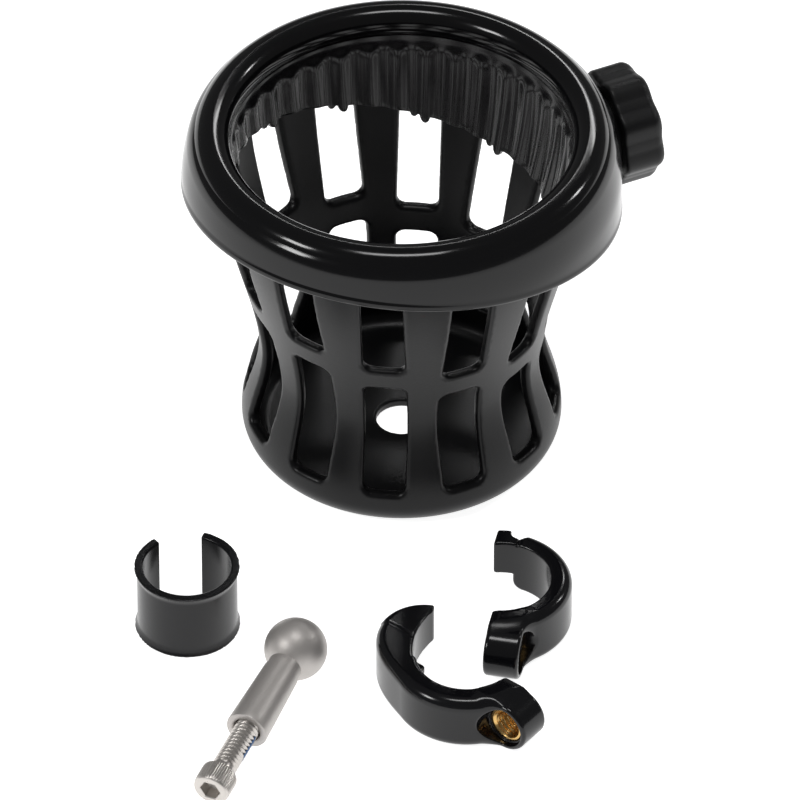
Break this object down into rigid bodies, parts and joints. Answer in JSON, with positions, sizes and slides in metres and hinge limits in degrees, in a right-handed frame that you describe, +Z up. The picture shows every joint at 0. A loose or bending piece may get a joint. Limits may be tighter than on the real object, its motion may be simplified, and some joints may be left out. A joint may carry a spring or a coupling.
{
  "type": "tube clamp cup holder",
  "caption": "Cup holder with a slotted waisted basket, ribbed liner and ball joint, laid out with its ball stud, split tube clamp and reducer bushing.",
  "frame": {"origin": "centre of the basket's round base, on the table that the holder and its loose pieces rest on", "axes": "+Z up along the basket's axis; -Y towards the loose pieces in front; +X to the right, the ball joint lies 25 degrees from +X towards +Y"},
  "size_m": [0.1353, 0.2023, 0.1004],
  "materials": {
    "satin_black": "satin",
    "gloss_black": "glossy",
    "zinc_steel": "satin",
    "seat_plastic": "matte",
    "satin_metal": "satin",
    "screw_steel": "bright",
    "patch_blue": "matte",
    "brass": "machined"
  },
  "bodies": {
    "holder": {"basket": "satin_black", "rim_bead": "gloss_black", "collar": "gloss_black", "ribbed_liner": "gloss_black", "rim_screws": "zinc_steel", "socket_boss": "satin_black", "socket_cup": "seat_plastic", "boss_screws": "zinc_steel"},
    "ring": {"compression_ring": "seat_plastic"},
    "knob": {"lock_knob": "satin_black"},
    "stud": {"ball_stud": "satin_metal"},
    "bolt": {"cap_screw": "screw_steel", "threadlock_patch": "patch_blue"},
    "clamp_near": {"clamp_half_near": "gloss_black", "brass_insert_near": "brass"},
    "clamp_far": {"clamp_half_far": "gloss_black", "brass_insert_far": "brass"},
    "bushing": {"reducer_bushing": "satin_black"}
  },
  "joints": [
    {"name": "ring_slide", "type": "slide", "parent": "holder", "child": "ring", "axis": [0.9063, 0.4226, 0], "range_m": [0, 0.006]},
    {"name": "knob_turn", "type": "hinge", "parent": "ring", "child": "knob", "pos_m": [0.05438, 0.02536, 0.079], "axis": [0.9063, 0.4226, 0], "range_deg": [0, 1080]},
    {"name": "stud_lift", "type": "slide", "parent": "holder", "child": "stud", "axis": [0, 0, 1], "range_m": [0, 0.06]},
    {"name": "screw_travel", "type": "slide", "parent": "stud", "child": "bolt", "axis": [-0.3948, -0.9168, -0.0607], "range_m": [-0.0155, 0.008]},
    {"name": "near_lift", "type": "slide", "parent": "holder", "child": "clamp_near", "axis": [0, 0, 1], "range_m": [0, 0.05]},
    {"name": "far_lift", "type": "slide", "parent": "holder", "child": "clamp_far", "axis": [0, 0, 1], "range_m": [0, 0.05]},
    {"name": "bushing_lift", "type": "slide", "parent": "holder", "child": "bushing", "axis": [0, 0, 1], "range_m": [0, 0.05]}
  ],
  "couplings": [
    {"joint": "ring_slide", "follows": "knob_turn", "m_per_rad": 0.00031831}
  ]
}
